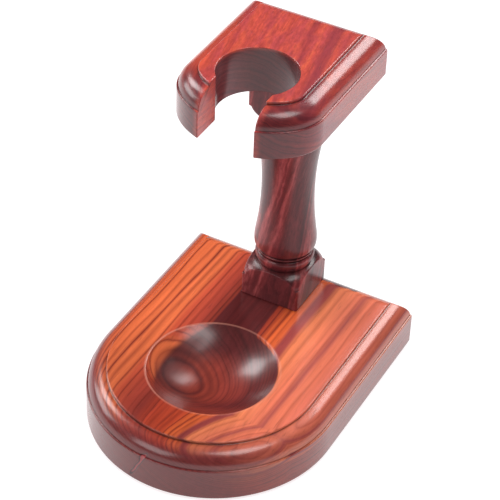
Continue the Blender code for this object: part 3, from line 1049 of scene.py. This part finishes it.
# (radius, height above the post's end) in millimetres: plinth, shoulder, dome, bead, collar, vase
PLINTH_TOP = 8.8
PLINTH_REACH = 18.0
SHOULDER = [
    (15.9, PLINTH_TOP - 0.12),
    (15.5, PLINTH_TOP - 0.03),
    (15.2, PLINTH_TOP),
    (15.0, PLINTH_TOP + 0.01),
]
DOME = [
    (14.90, 8.86),
    (14.78, 9.5),
    (14.35, 10.5),
    (13.60, 11.5),
    (12.60, 12.4),
    (11.30, 13.2),
    (10.45, 13.55),
]
BEAD = [
    (9.80, 13.72),
    (9.97, 14.3),
    (10.35, 14.9),
    (10.62, 15.6),
    (10.72, 16.4),
    (10.58, 17.2),
    (10.15, 17.85),
    (9.55, 18.08),
]
COLLAR = [(9.50, 18.5), (10.12, 18.62), (10.37, 18.9), (10.37, 19.25), (10.15, 19.5), (9.86, 19.62)]
VASE = [
    (9.90, 19.78),
    (10.35, 20.05),
    (10.83, 20.6),
    (11.10, 21.3),
    (11.22, 22.2),
    (11.25, 23.2),
    (11.17, 24.7),
    (10.93, 26.5),
    (10.60, 28.8),
    (10.22, 31.8),
    (9.85, 35.5),
    (9.58, 39.8),
    (9.46, 44.0),
]
WAIST_RADIUS, WAIST_START = 9.455, 44.2
GROOVES = (BEAD[0], BEAD[-1], COLLAR[0], VASE[0])
# painted shade along the post's grooves: its strength and its width in millimetres
GROOVE_SHADE, GROOVE_SHADE_WIDTH = 0.85, 0.30


def post_profile():
    """(radius, height) and the painted shade in the grooves at each point, from the pilot hole's end to the
    dowel hole's.
    """
    height = (post_high.z - post_low.z) / MM
    lower = straight_run((PLINTH_REACH, 0.0), (PLINTH_REACH, PLINTH_TOP - 0.3), 0.5) + SHOULDER
    for run in (DOME, BEAD, COLLAR, VASE):
        lower += smooth_run(run, 0.16)
    waist = straight_run((WAIST_RADIUS, WAIST_START), (WAIST_RADIUS, height - WAIST_START), 0.8)
    outside = lower + waist + [(r, height - z) for r, z in reversed(lower)]

    pilot, pilot_top = SCREW_HOLE / MM, (screw_high.z + PILOT_PAST_TIP - post_low.z) / MM
    dowel, dowel_floor = DOWEL_HOLE / MM, (dowel_low.z - DOWEL_HOLE_PAST_END - post_low.z) / MM
    flat = 6.0
    start = [(0.0, pilot_top), (pilot, pilot_top), (pilot, 0.0), (flat, 0.0)]
    end = [(flat, height), (dowel, height), (dowel, dowel_floor), (0.0, dowel_floor)]
    points = start + outside + end
    crease = []
    for r, z in points:
        near = min(math.dist((r, min(z, height - z)), groove) for groove in GROOVES)
        crease.append(GROOVE_SHADE * math.exp(-((near / GROOVE_SHADE_WIDTH) ** 2)))
    return [(r * MM, post_low.z + z * MM) for r, z in points], crease


def make_post(finish):
    profile, crease = post_profile()
    post = turn_piece(
        "turned_post",
        profile,
        finish,
        crease,
        Columns=176,
        Axis=(0.0, POST_Y, 0.0),
        Half_side=POST_HALF,
        Squareness=34.0,
        Corner_crowding=0.17,
        Softness=0.00045,
    )
    even_shading(post, 50.0)
    return post


def cross_recess(screw, face, deep):
    """Sinks a tapering cross into the screw's head."""
    arm, thick, past = 0.0020, 0.00045, 0.001
    corners = [(arm, thick), (thick, thick), (thick, arm), (-thick, arm), (-thick, thick), (-arm, thick)]
    corners += [(-x, -y) for x, y in corners]
    driver = bmesh.new()
    low, high = [
        [driver.verts.new((x * size, POST_Y + y * size, z)) for x, y in corners]
        for z, size in ((face - past, 1.15), (face + deep, 0.72))
    ]
    driver.faces.new(low)
    driver.faces.new(high)
    for i in range(len(corners)):
        driver.faces.new((low[i - 1], low[i], high[i], high[i - 1]))
    bmesh.ops.recalc_face_normals(driver, faces=driver.faces)
    carve(screw, driver)


def make_screw(finish):
    """Pan head with a cross recess, plain neck, then a coarse wood thread up to a point."""
    head_low, head_top, tip = screw_low.z, washer_low.z - CLEARANCE, screw_high.z
    head, head_round, core, major, pitch = 0.0038, 0.0014, 0.00145, 0.0020, 0.0016
    neck_end, point_start, step = head_top + 0.0080, tip - 0.0040, pitch / 10
    profile = [(0.0, head_low), (0.0012, head_low)]
    for a in reversed(quarter_turn(6)):
        rise = (head_top - head_low) * math.sin(a)
        profile.append((head - head_round * (1 - math.cos(a)), head_top - rise))
    profile.append((major, head_top))
    profile += straight_run((major, head_top + 0.0001), (major, neck_end), 0.001)
    profile += straight_run((core, neck_end + 0.0004), (core, point_start), step)
    profile += straight_run((core * 0.96, point_start + 0.0001), (0.0003, tip - 0.0001), step)
    profile.append((0.0, tip))
    screw = turn_piece(
        "wood_screw",
        profile,
        finish,
        Columns=48,
        Axis=(0.0, POST_Y, 0.0),
        Thread_depth=major - core,
        Thread_pitch=pitch,
        Thread_start=neck_end - 0.0002,
        Thread_end=tip - 0.0006,
    )
    cross_recess(screw, head_low, 0.0014)
    even_shading(screw, 40.0)
    return screw


def make_foot(node, finish):
    """A felt disc with a softened lower edge."""
    low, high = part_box(node)
    middle, radius = (low + high) / 2, (high.x - low.x) / 2
    soft, ease = 0.0006, 0.0003
    profile = [(0.0, low.z), (radius * 0.5, low.z), (radius - 0.0007, low.z)]
    for a in np.linspace(0.3, math.pi / 2, 6):
        profile.append((radius - soft * (1 - math.sin(a)), low.z + soft * (1 - math.cos(a))))
    profile += straight_run((radius, low.z + 0.0007), (radius, high.z - ease), ease)
    profile += [(radius - ease, high.z), (radius * 0.5, high.z), (0.0, high.z)]
    name = node.replace("foot", "felt_pad")
    pad = turn_piece(name, profile, finish, Columns=64, Axis=(middle.x, middle.y, 0.0))
    even_shading(pad, 60.0)
    return pad


# ------------------------------------------------------------------ build
turning = turning_tree()
base = make_base(base_rosewood())
plate = make_plate(plate_rosewood())
post = make_post(post_rosewood())
steel = zinc_steel()
screw = make_screw(steel)
felt = pressed_felt()
pads = {foot: make_foot(foot, felt) for foot in FEET}

for piece, node, slot in (
    (base, "base_board", "base_wood"),
    (plate, "top_plate", "plate_wood"),
    (post, "post", "post_wood"),
    (screw, "post_screw", "steel"),
    *((pad, foot, "foot_felt") for foot, pad in pads.items()),
):
    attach(piece, "root")
    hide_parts(node)
for node, finish in (("screw_washer", steel), ("plate_dowel", beech())):
    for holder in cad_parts[node].material_slots:
        holder.material = finish

# ------------------------------------------------------------------ studio
CAMERA_AZIMUTH, CAMERA_ELEVATION, CAMERA_ROLL = 27.173, 39.109, 2.277
CAMERA_TARGET, CAMERA_DISTANCE = Vector((0.00203, 0.00800, 0.05979)), 0.68742
CAMERA_LENS, CAMERA_SENSOR, CAMERA_NEAR = 144.67, 36.0, 0.05

# name, direction from the stand, then distance, width and height in metres, and watts
SOFTBOX_TARGET = Vector((0.0, 0.0, 0.05))
SOFTBOXES = (
    ("back_panel", (0.13, 0.75, 0.62), 0.85, 0.41, 0.26, 3.0),
    ("left_panel", (-0.73, 0.20, 0.66), 0.85, 0.25, 0.26, 2.1),
    ("low_left_panel", (-0.93, -0.12, 0.33), 0.85, 0.42, 0.30, 2.3),
    ("overhead_panel", (0.31, -0.05, 0.95), 0.90, 0.40, 0.36, 3.0),
    ("front_panel", (-0.34, -0.80, 0.45), 0.85, 0.44, 0.40, 2.0),
)
ROOM_COLOUR, ROOM_STRENGTH = (1.0, 0.95, 0.97, 1.0), 0.50
FLOOR_HALF = 4.0

scene = bpy.context.scene


def aim(location, target, roll=0.0):
    """A placement whose -Z looks from one point to another."""
    back = (location - target).normalized()
    right = Vector((0.0, 0.0, 1.0)).cross(back).normalized()
    up = back.cross(right)
    turn = Matrix((right, up, back)).transposed() @ Matrix.Rotation(roll, 3, "Z")
    return Matrix.Translation(location) @ turn.to_4x4()


def make_camera():
    azimuth, elevation = math.radians(CAMERA_AZIMUTH), math.radians(CAMERA_ELEVATION)
    level = math.cos(elevation)
    back = Vector((math.sin(azimuth) * level, -math.cos(azimuth) * level, math.sin(elevation)))
    data = bpy.data.cameras.new("camera")
    data.sensor_width = CAMERA_SENSOR
    data.lens = CAMERA_LENS
    data.clip_start = CAMERA_NEAR
    camera = bpy.data.objects.new("camera", data)
    scene.collection.objects.link(camera)
    place = CAMERA_TARGET + back * CAMERA_DISTANCE
    camera.matrix_world = aim(place, CAMERA_TARGET, math.radians(CAMERA_ROLL))
    scene.camera = camera


def softbox(name, direction, distance, width, height, watts):
    """A rectangular light panel that faces the stand."""
    data = bpy.data.lights.new(name, "AREA")
    data.shape = "RECTANGLE"
    data.size, data.size_y = width, height
    data.energy = watts
    panel = bpy.data.objects.new(name, data)
    scene.collection.objects.link(panel)
    panel.matrix_world = aim(SOFTBOX_TARGET + Vector(direction).normalized() * distance, SOFTBOX_TARGET)


def light_room():
    """Soft light from all round, which the lacquer doesn't mirror."""
    world = bpy.data.worlds.new("studio")
    scene.world = world
    world.use_nodes = True
    room = world.node_tree.nodes["Background"]
    room.inputs["Color"].default_value = ROOM_COLOUR
    room.inputs["Strength"].default_value = ROOM_STRENGTH
    world.cycles_visibility.glossy = False
    scene.view_settings.view_transform = "Standard"


def make_floor():
    mesh = bpy.data.meshes.new("floor")
    corners = [(-1, -1), (1, -1), (1, 1), (-1, 1)]
    mesh.from_pydata([(x * FLOOR_HALF, y * FLOOR_HALF, 0.0) for x, y in corners], [], [(0, 1, 2, 3)])
    mesh.materials.append(pale_floor())
    floor = bpy.data.objects.new("floor", mesh)
    scene.collection.objects.link(floor)


make_camera()
for panel in SOFTBOXES:
    softbox(*panel)
light_room()
make_floor()
